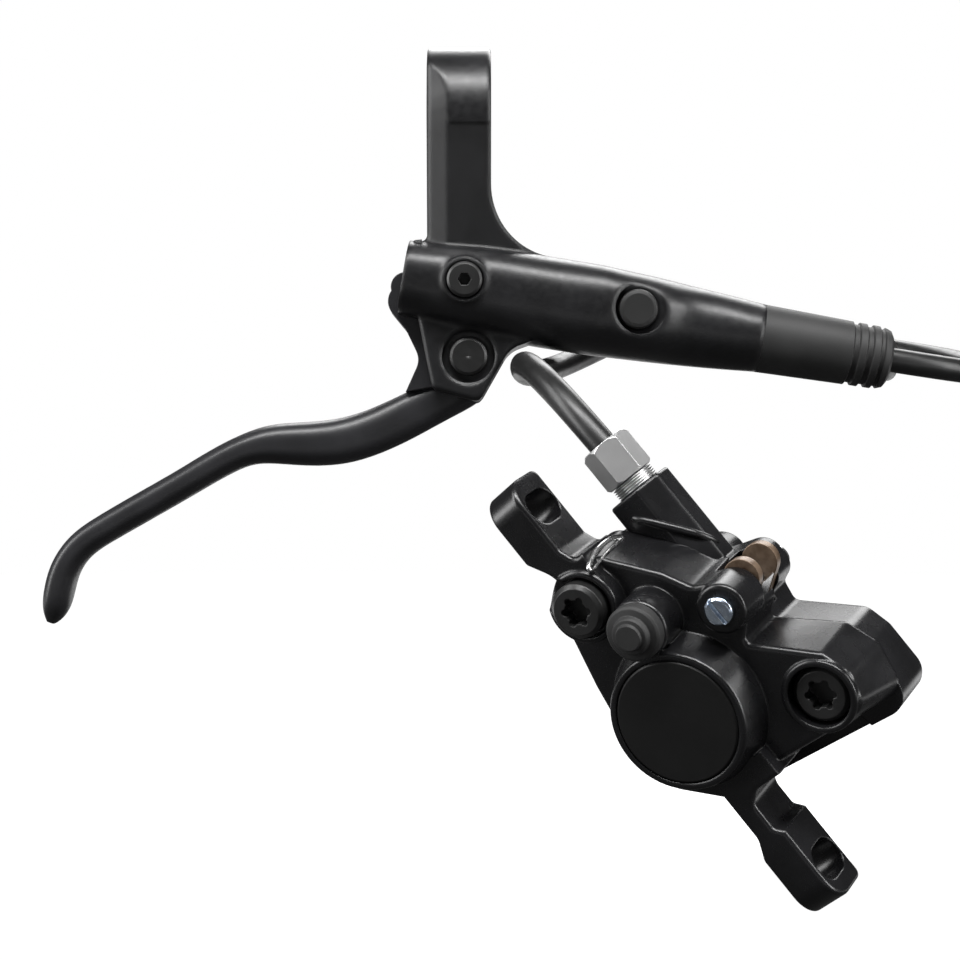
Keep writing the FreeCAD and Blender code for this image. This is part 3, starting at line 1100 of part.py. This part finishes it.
LEVER_RUN = [Vector(73.85, -3.0, -46.75), Vector(97.52, -3.0, -50.67), Vector(115.05, 14.27, -51.30),
             Vector(115.95, 54.65, -45.65), Vector(91.22, 79.99, -39.13)]
CALIPER_RUN = [Vector(37.67, -68.34, -82.65), Vector(11.80, -64.73, -50.47), Vector(12.8, -6.0, -54.0),
               Vector(39.14, 31.08, -40.28), Vector(39.57, 59.36, -37.64)]
RING_ALONG = size("coil_along")
RING_BACK = size("coil_back")


def hose_ring():
    """The coiled hose as one ring: two turns wide and two turns high."""
    wide = 2 * size("hose_radius")
    middle = size("coil_radius")
    soft = size("hose_radius")
    section = rounded_face([(middle - wide, -wide, soft), (middle + wide, -wide, soft),
                            (middle + wide, wide, soft), (middle - wide, wide, soft)])
    section.rotate(Vector(), Vector(1, 0, 0), 90)
    return section.revolve(Vector(), EYE, FULL_TURN)


def coil_tie():
    """Strap round the bundle of turns."""
    wide = 2 * size("hose_radius") + size("seat_gap")
    thick = 0.9
    middle = size("coil_radius")
    loops = []
    for grow in (thick, 0):
        half = wide + grow
        corner = size("hose_radius") + grow
        loops.append([(middle - half, -half, corner), (middle + half, -half, corner),
                      (middle + half, half, corner), (middle - half, half, corner)])
    outer, inner = [slab(loop, -2.5, 2.5) for loop in loops]
    buckle = Part.makeBox(3.0, 5.0, 6.0, Vector(middle + wide + thick - 0.5, -2.5, -3.0))
    strap = outer.fuse(buckle).cut(inner)
    strap.rotate(Vector(), Vector(1, 0, 0), 90)
    strap.rotate(Vector(), EYE, -115)
    return solid_of(strap)


RING_FRAME = Placement(behind(RING_ALONG, RING_BACK), Rotation(WORLD_AXIS, COIL_BACK, COIL_NORMAL, "ZXY"))
solid_part("hose_coil", hose_ring(), RING_FRAME)
solid_part("coil_tie", coil_tie(), RING_FRAME)
for name, points in (("brake_hose_lever_run", LEVER_RUN), ("brake_hose_caliper_run", CALIPER_RUN)):
    solid_part(name, solid_of(hose_tube(name, points)), Placement())
# The hose ends against the insert's flange and leaves the boot where the lever run starts
HOSE_STOP = NUT_FACE - 12.7
BOOT_MOUTH = (LEVER_RUN[0] - LEVER_FRAME.multVec(CYLINDER_START)).dot(WORLD_AXIS)
END_LENGTH = str(round(BOOT_MOUTH - HOSE_STOP, 3))
turned("brake_hose_lever_end", [("1.25", "0"), ("hose_radius", "0"), ("hose_radius", END_LENGTH),
                                ("1.25", END_LENGTH)], LEVER_FRAME, on_axis(HOSE_STOP), AXIS)

# Every feature is sound, and every piece has a valid shape, before any file is written
doc.recompute()
for item in doc.Objects:
    if "Invalid" in item.State or "Error" in item.State:
        raise ValueError("feature failed: " + item.Label)
pieces = [item for item in doc.Objects if item.TypeId in ("PartDesign::Body", "Part::Feature")]
for piece in pieces:
    if piece.Shape.isNull() or not piece.Shape.isValid():
        raise ValueError("no valid shape: " + piece.Label)
os.makedirs("parts", exist_ok=True)
for piece in pieces:
    piece.Shape.exportStep("parts/%s.step" % piece.Label)
print("pieces written:", len(pieces), "pushrod travel", round(NOSE_TRAVEL, 2))
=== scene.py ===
import json
import math
import bmesh
import bpy
from mathutils import Matrix, Vector


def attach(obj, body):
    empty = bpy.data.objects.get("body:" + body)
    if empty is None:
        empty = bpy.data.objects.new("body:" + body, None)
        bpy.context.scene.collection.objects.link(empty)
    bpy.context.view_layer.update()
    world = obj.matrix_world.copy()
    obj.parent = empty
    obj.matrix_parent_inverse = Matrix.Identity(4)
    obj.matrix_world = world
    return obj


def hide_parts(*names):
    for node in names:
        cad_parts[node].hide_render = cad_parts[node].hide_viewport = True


# Looks of a hydraulic disc brake: black painted castings, a matt rubber boot, bright steel
# fittings, brown pad tabs and one brake hose that joins the lever unit and the caliper.
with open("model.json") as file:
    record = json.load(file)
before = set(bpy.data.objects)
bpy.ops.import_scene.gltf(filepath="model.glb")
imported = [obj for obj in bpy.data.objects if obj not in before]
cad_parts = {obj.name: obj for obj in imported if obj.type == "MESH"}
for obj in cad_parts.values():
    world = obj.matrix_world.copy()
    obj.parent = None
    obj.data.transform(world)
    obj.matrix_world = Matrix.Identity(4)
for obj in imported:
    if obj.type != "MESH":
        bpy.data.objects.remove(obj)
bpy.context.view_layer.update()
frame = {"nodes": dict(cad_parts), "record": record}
MM = 0.001


# Camera at the photograph's viewing angle, level and looking along +Y, placed in millimetres
CAMERA_PLACE = Vector((4.2, -400, -73.3))
LENS = 73.5
SENSOR = 36


def make_camera():
    lens = bpy.data.cameras.new("photo_camera")
    lens.lens = LENS
    lens.sensor_width = SENSOR
    camera = bpy.data.objects.new("photo_camera", lens)
    camera.location = CAMERA_PLACE * MM
    camera.rotation_euler = (math.radians(90), 0, 0)
    bpy.context.scene.collection.objects.link(camera)
    bpy.context.scene.camera = camera


# Materials: every surface varies in colour, gloss and relief, at a scale given in millimetres
NOISE_LOW = 0.3
NOISE_HIGH = 0.7
TONE_LOW = 0.35
TONE_HIGH = 0.65
EDGE_SAMPLES = 12


def noise(tree, coordinates, grain, detail):
    node = tree.nodes.new("ShaderNodeTexNoise")
    node.inputs["Scale"].default_value = 1 / (grain * MM)
    node.inputs["Detail"].default_value = detail
    tree.links.new(coordinates.outputs["Object"], node.inputs["Vector"])
    return node


def spread(tree, source, low, high):
    """Map a noise's usual range onto low to high."""
    node = tree.nodes.new("ShaderNodeMapRange")
    node.inputs["From Min"].default_value = NOISE_LOW
    node.inputs["From Max"].default_value = NOISE_HIGH
    node.inputs["To Min"].default_value = low
    node.inputs["To Max"].default_value = high
    tree.links.new(source.outputs["Fac"], node.inputs["Value"])
    return node


def surface(name, dark, light, rough, metal=0.0, patch=9.0, grain=0.22, height=0.004,
            edge=0.25, rough_spread=0.04, specular=0.45):
    """Finish with slow patches of tone, fine relief and softly rounded edges; lengths in mm."""
    material = bpy.data.materials.new(name)
    material.use_nodes = True
    tree = material.node_tree
    shader = tree.nodes["Principled BSDF"]
    shader.inputs["Metallic"].default_value = metal
    shader.inputs["Specular IOR Level"].default_value = specular
    coordinates = tree.nodes.new("ShaderNodeTexCoord")
    patches = noise(tree, coordinates, patch, detail=3.0)
    specks = noise(tree, coordinates, grain, detail=2.0)
    tone = tree.nodes.new("ShaderNodeValToRGB")
    tone.color_ramp.elements[0].position = TONE_LOW
    tone.color_ramp.elements[1].position = TONE_HIGH
    tone.color_ramp.elements[0].color = (*dark, 1)
    tone.color_ramp.elements[1].color = (*light, 1)
    tree.links.new(patches.outputs["Fac"], tone.inputs["Fac"])
    tree.links.new(tone.outputs["Color"], shader.inputs["Base Color"])
    gloss = spread(tree, specks, rough - rough_spread, rough + rough_spread)
    tree.links.new(gloss.outputs["Result"], shader.inputs["Roughness"])
    relief = tree.nodes.new("ShaderNodeBump")
    relief.inputs["Strength"].default_value = 1.0
    relief.inputs["Distance"].default_value = height * MM
    tree.links.new(specks.outputs["Fac"], relief.inputs["Height"])
    if edge:
        rounding = tree.nodes.new("ShaderNodeBevel")
        rounding.samples = EDGE_SAMPLES
        rounding.inputs["Radius"].default_value = edge * MM
        tree.links.new(rounding.outputs["Normal"], relief.inputs["Normal"])
    tree.links.new(relief.outputs["Normal"], shader.inputs["Normal"])
    return material


def grey(value, blue=1.0):
    """Neutral colour, or a little bluish where blue is over 1."""
    return (value, value, value * blue)


FINISHES = {
    # Black paint
    "casting_black": surface("satin_black", grey(0.006, 1.1), grey(0.011, 1.1), 0.38, edge=0.35),
    "body_black": surface("body_black", grey(0.005, 1.1), grey(0.009, 1.1), 0.35, grain=1.2, edge=1.9),
    "caliper_black": surface("gloss_black", grey(0.004, 1.1), grey(0.008, 1.1), 0.27, grain=4.0,
                             edge=0.6, rough_spread=0.02),
    "lever_black": surface("lever_black", grey(0.010, 1.12), grey(0.015, 1.12), 0.38, edge=0.35),
    "cover_black": surface("cover_black", grey(0.003), grey(0.005), 0.45, grain=0.15, specular=0.35),
    # Screws, rubber and hose
    "axle_black": surface("axle_black", grey(0.004), grey(0.007), 0.42, grain=0.8, height=0.002, edge=0.0),
    "bolt_black": surface("bolt_black", grey(0.008), grey(0.016), 0.36, grain=0.3),
    "plug_black": surface("plug_black", grey(0.008), grey(0.012), 0.48, grain=0.18),
    "rubber_black": surface("rubber_black", grey(0.010), grey(0.016), 0.60, grain=0.16, height=0.012),
    "hose_black": surface("hose_black", grey(0.006), grey(0.010), 0.36, grain=2.5, height=0.002, edge=0.0),
    # Bare metal
    "nut_steel": surface("nut_steel", grey(0.68), grey(0.80), 0.36, metal=0.9, grain=0.12, height=0.01),
    "thread_steel": surface("thread_steel", grey(0.40), grey(0.52), 0.36, metal=1.0, grain=0.12, height=0.01),
    "axle_zinc": surface("axle_zinc", (0.48, 0.56, 0.70), (0.74, 0.84, 0.95), 0.22, metal=1.0, patch=1.6),
    "spring_steel": surface("spring_steel", grey(0.62), grey(0.76), 0.25, metal=1.0, patch=3.0,
                            grain=1.5, height=0.001, edge=0.0),
    "fitting_brass": surface("fitting_brass", (0.55, 0.38, 0.14), (0.68, 0.49, 0.2), 0.3, metal=1.0,
                             patch=2.0),
    "piston_alloy": surface("piston_alloy", grey(0.5), grey(0.6), 0.3, metal=1.0, patch=3.0),
    # Resin, polymer and the pads
    "bush_polymer": surface("bush_polymer", grey(0.04), grey(0.06), 0.5),
    "piston_resin": surface("piston_resin", (0.30, 0.27, 0.22), (0.38, 0.34, 0.28), 0.5),
    "plate_brown": surface("plate_brown", (0.10, 0.065, 0.042), (0.20, 0.14, 0.095), 0.36, metal=0.5,
                           patch=2.2, grain=0.1),
    "lining_resin": surface("lining_resin", (0.07, 0.055, 0.045), (0.16, 0.12, 0.09), 0.8, patch=0.7,
                            grain=0.25, height=0.04),
}

# The body's edges are softer, the caliper's paint is glossier and the axle's cap is smoother
OWN_FINISH = {"master_cylinder_body": "body_black", "caliper_outboard_half": "caliper_black",
              "caliper_inboard_half": "caliper_black", "lever_axle": "axle_black"}


def dress_nodes():
    """Give every CAD node the finish of its slot in the record, or one of its own."""
    slots = {part["node"]: part["material_slot"] for part in frame["record"]["subparts"]}
    for name, node in frame["nodes"].items():
        node.data.materials.clear()
        node.data.materials.append(FINISHES[OWN_FINISH.get(name, slots[name])])


def smooth_curve(name, points, closed=False):
    """Curve of one NURBS spline that runs near its points, which are in mm."""
    curve = bpy.data.curves.new(name, "CURVE")
    curve.dimensions = "3D"
    spline = curve.splines.new("NURBS")
    spline.points.add(len(points) - 1)
    for knot, point in zip(spline.points, points):
        knot.co = (*(Vector(point) * MM), 1)
    spline.order_u = 3
    spline.use_endpoint_u = not closed
    spline.use_cyclic_u = closed
    return curve


# Brake hose: its route in the part's own millimetres
HOSE_RADIUS = 2.5
# The lever unit's cylinder slopes down to the right, and the hose leaves the boot at its end
SLOPE = math.radians(9.4)
AXIS = Vector((math.cos(SLOPE), 0, -math.sin(SLOPE)))
ACROSS = Vector((math.sin(SLOPE), 0, math.cos(SLOPE)))
CYLINDER_START = Vector((-11, -3, -32.7))
# The coil lies behind the lever unit, its back a little raised
LIFT = math.radians(5.4)
COIL_ALONG = 80.7
COIL_BEHIND = 62.4
COIL_RADIUS = 27.5
COIL_BACK = Vector((0, 1, 0)) * math.cos(LIFT) + ACROSS * math.sin(LIFT)
COIL_NORMAL = AXIS.cross(COIL_BACK)
COIL_CENTRE = CYLINDER_START + AXIS * COIL_ALONG + COIL_BACK * COIL_BEHIND
LEVER_RUN = [(73.85, -3.0, -46.75), (97.52, -3.0, -50.67), (115.05, 14.27, -51.30),
             (115.95, 54.65, -45.65), (91.22, 79.99, -39.13)]
CALIPER_RUN = [(37.67, -68.34, -82.65), (11.80, -64.73, -50.47), (12.8, -6.0, -54.0),
               (39.14, 31.08, -40.28), (39.57, 59.36, -37.64)]
# Degrees that the coil has turned where it starts, where it ends, and where a turn moves over
COIL_ENTRY = 45
COIL_SWEPT = 3 * 360 + 135
MOVES_IN = (285, 345)
MOVES_DOWN = (575, 635)
MOVES_OUT = (865, 925)


def eased(value, start, stop):
    """0 before start, 1 after stop, and smooth between them."""
    share = min(max((value - start) / (stop - start), 0.0), 1.0)
    return share * share * (3 - 2 * share)


def coil_turns():
    """Points of three and a bit turns, packed two wide and two high."""
    step = 15
    points = []
    for turned in range(step, COIL_SWEPT, step):
        inward = eased(turned, *MOVES_IN) - eased(turned, *MOVES_OUT)
        lower = eased(turned, *MOVES_DOWN)
        radius = COIL_RADIUS + HOSE_RADIUS * (1 - 2 * inward)
        layer = HOSE_RADIUS * (1 - 2 * lower)
        angle = math.radians(COIL_ENTRY + turned)
        reach = radius / math.cos(math.radians(step / 2))
        points.append(COIL_CENTRE + (AXIS * math.cos(angle) + COIL_BACK * math.sin(angle)) * reach
                      + COIL_NORMAL * layer)
    return points


def make_hose():
    """One cord from the boot's mouth through the coil to the caliper's nut."""
    curve = smooth_curve("brake_hose", LEVER_RUN + coil_turns() + CALIPER_RUN[::-1])
    curve.splines[0].resolution_u = 20
    curve.bevel_depth = HOSE_RADIUS * MM
    curve.bevel_resolution = 9
    curve.materials.append(FINISHES["hose_black"])
    hose = bpy.data.objects.new("brake_hose", curve)
    bpy.context.scene.collection.objects.link(hose)
    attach(hose, "housings")
    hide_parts("brake_hose_lever_run", "hose_coil", "brake_hose_caliper_run")


# Caliper's own frame in metres, as in the part: x along the mounts, z outboard from the rotor
CALIPER_PLACE = Vector((37.96, -76.0, -106.35)) * MM
CALIPER_ROLL = 51.2
CALIPER_TILT = 5.0
CALIPER_TURN = 33.0
MOUNT_OFFSET = Vector((0, 0, 8.0)) * MM
CALIPER = (Matrix.Translation(CALIPER_PLACE)
           @ Matrix.Rotation(math.radians(CALIPER_ROLL), 4, "Y")
           @ Matrix.Rotation(math.radians(-CALIPER_TILT), 4, "Z")
           @ Matrix.Rotation(math.radians(90 + CALIPER_TURN), 4, "X")
           @ Matrix.Translation(-MOUNT_OFFSET))


def add_to_caliper(name, shape, matrix, finish):
    """A visual piece that rides with the housings and its finish."""
    shape.materials.append(FINISHES[finish])
    piece = bpy.data.objects.new(name, shape)
    piece.matrix_world = matrix
    bpy.context.scene.collection.objects.link(piece)
    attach(piece, "housings")


def turned_mesh(name, profile, sides=96):
    """Closed ring about z from corners (radius, height) in mm that run round the section."""
    shape = bmesh.new()
    loops = []
    for side in range(sides):
        angle = 2 * math.pi * side / sides
        across = math.cos(angle) * MM
        along = math.sin(angle) * MM
        loops.append([shape.verts.new((radius * across, radius * along, height * MM))
                      for radius, height in profile])
    count = len(profile)
    for side in range(sides):
        here = loops[side]
        after = loops[(side + 1) % sides]
        for index in range(count):
            follows = (index + 1) % count
            shape.faces.new((here[index], after[index], after[follows], here[follows]))
    bmesh.ops.recalc_face_normals(shape, faces=shape.faces)
    for face in shape.faces:
        face.smooth = True
    mesh = bpy.data.meshes.new(name)
    shape.to_mesh(mesh)
    shape.free()
    return mesh


# Thread between the caliper's nut and the port, in mm from the nut's face, negative to the port
NUT_FACE = Vector((-31.9, 9.0, -5.0)) * MM
THREAD_START = -2.28
THREAD_END = -0.1
THREAD_TURNS = 5
THREAD_INSIDE = 3.3
THREAD_ROOT = 3.58
THREAD_CREST = 3.98


def make_nut_thread():
    """Turns of thread in the gap between the caliper's nut and the port."""
    pitch = (THREAD_END - THREAD_START) / THREAD_TURNS
    flank = 0.35 * pitch
    crest = 0.15 * pitch
    profile = [(THREAD_INSIDE, THREAD_START)]
    for turn in range(THREAD_TURNS):
        low = THREAD_START + turn * pitch
        profile += [(THREAD_ROOT, low), (THREAD_CREST, low + flank)]
        profile += [(THREAD_CREST, low + flank + crest), (THREAD_ROOT, low + 2 * flank + crest)]
    profile += [(THREAD_INSIDE, THREAD_END)]
    nut = CALIPER @ Matrix.Translation(NUT_FACE) @ Matrix.Rotation(math.radians(-90), 4, "Y")
    add_to_caliper("caliper_nut_thread", turned_mesh("caliper_nut_thread", profile), nut,
                   "thread_steel")


def rod(name, points, radii, closed=False):
    """Smooth round bar through points in mm, with a radius in mm at each of them."""
    curve = smooth_curve(name, points, closed)
    spline = curve.splines[0]
    for knot, radius in zip(spline.points, radii):
        knot.radius = radius
    spline.resolution_u = 8
    curve.bevel_depth = MM
    curve.bevel_resolution = 5
    curve.use_fill_caps = not closed
    return curve


def make_port_rib():
    """Rib that runs across the port arm, where it joins the body."""
    line = [(-26.2, 7.2, 0.1), (-25.4, 8.0, 0.2), (-23.3, 9.8, 0.1), (-21.2, 11.2, -0.5),
            (-19.2, 12.3, -1.7), (-17.1, 13.4, -2.8), (-14.9, 14.0, -4.8), (-14.1, 14.0, -5.3)]
    radii = [0.4, 0.7, 0.8, 0.8, 0.8, 0.75, 0.6, 0.3]
    add_to_caliper("caliper_port_rib", rod("caliper_port_rib", line, radii), CALIPER,
                   "caliper_black")


def make_highlight_wire():
    """Bright bent wire on the corner between the left mount and the body; its bright steel is a painted
    highlight, in place of the shine of a machined edge there.
    """
    outer = [(-24.6, 4.6, 1.6), (-25.7, 4.6, 4.5), (-25.9, 4.2, 8.0), (-25.5, 3.6, 11.2), (-24.0, 2.9, 14.8)]
    inner = [(-23.4, 3.2, 13.2), (-24.3, 4.0, 9.4), (-24.5, 4.5, 5.2)]
    thick = 0.45
    thin = 0.25
    radii = [thick] * len(outer) + [thin] * len(inner)
    wire = rod("caliper_highlight_wire", outer + inner, radii, closed=True)
    add_to_caliper("caliper_highlight_wire", wire, CALIPER, "spring_steel")


# Stage, in metres: a pale floor well under the object, and a dark card between the two, unseen by
# the camera, so that the white floor isn't mirrored in black paint
FLOOR_PLACE = (0, 1.9, -0.32)
FLOOR_RADIUS = 3.0
CARD_PLACE = (0.02, 0, -0.29)
CARD_RADIUS = 0.9
TARGET = Vector((0.03, -0.03, -0.07))
ROOM_STRENGTH = 0.055


def stage_disc(name, place, radius, sides, tone, rough, glow):
    """Level disc that isn't part of the object."""
    bpy.ops.mesh.primitive_circle_add(vertices=sides, radius=radius, fill_type="NGON", location=place)
    disc = bpy.context.object
    disc.name = name
    material = bpy.data.materials.new(name)
    material.use_nodes = True
    shader = material.node_tree.nodes["Principled BSDF"]
    shader.inputs["Base Color"].default_value = (tone, tone, tone, 1)
    shader.inputs["Roughness"].default_value = rough
    shader.inputs["Emission Color"].default_value = (1, 1, 1, 1)
    shader.inputs["Emission Strength"].default_value = glow
    disc.data.materials.append(material)
    return disc


def make_stage():
    stage_disc("floor", FLOOR_PLACE, FLOOR_RADIUS, sides=96, tone=0.85, rough=0.9, glow=1.0)
    card = stage_disc("dark_card", CARD_PLACE, CARD_RADIUS, sides=64, tone=0.03, rough=1.0, glow=0.0)
    card.visible_camera = False


def make_world():
    """White behind the object, and a dim room for everything that it reflects."""
    world = bpy.data.worlds.new("studio")
    bpy.context.scene.world = world
    world.use_nodes = True
    tree = world.node_tree
    tree.nodes.clear()
    out = tree.nodes.new("ShaderNodeOutputWorld")
    seen = tree.nodes.new("ShaderNodeBackground")
    seen.inputs["Color"].default_value = (1, 1, 1, 1)
    room = tree.nodes.new("ShaderNodeBackground")
    room.inputs["Color"].default_value = (1, 1, 1, 1)
    room.inputs["Strength"].default_value = ROOM_STRENGTH
    ray = tree.nodes.new("ShaderNodeLightPath")
    mix = tree.nodes.new("ShaderNodeMixShader")
    tree.links.new(ray.outputs["Is Camera Ray"], mix.inputs["Fac"])
    tree.links.new(room.outputs["Background"], mix.inputs[1])
    tree.links.new(seen.outputs["Background"], mix.inputs[2])
    tree.links.new(mix.outputs["Shader"], out.inputs["Surface"])


def softbox(name, azimuth, elevation, distance, wide, high, power):
    """Area light that faces the object; azimuth 0 is the camera's side."""
    turn = math.radians(azimuth)
    rise = math.radians(elevation)
    towards = Vector((math.sin(turn) * math.cos(rise), -math.cos(turn) * math.cos(rise), math.sin(rise)))
    light = bpy.data.lights.new(name, "AREA")
    light.shape = "RECTANGLE"
    light.size = wide
    light.size_y = high
    light.energy = power
    lamp = bpy.data.objects.new(name, light)
    lamp.location = TARGET + towards * distance
    lamp.rotation_euler = (-towards).to_track_quat("-Z", "Y").to_euler()
    lamp.visible_camera = False
    bpy.context.scene.collection.objects.link(lamp)


def make_lights():
    softbox("top_box", azimuth=0, elevation=60, distance=1.0, wide=1.2, high=0.24, power=22)
    softbox("left_box", azimuth=-78, elevation=18, distance=1.0, wide=0.35, high=0.9, power=9)
    softbox("right_box", azimuth=66, elevation=14, distance=1.1, wide=0.22, high=0.8, power=8)
    softbox("low_box", azimuth=5, elevation=-12, distance=0.9, wide=1.2, high=0.10, power=0.3)
    softbox("back_box", azimuth=170, elevation=40, distance=1.2, wide=1.0, high=0.5, power=10)


make_camera()
make_hose()
dress_nodes()
make_nut_thread()
make_port_rib()
make_highlight_wire()
make_stage()
make_world()
make_lights()
bpy.context.scene.view_settings.view_transform = "Standard"
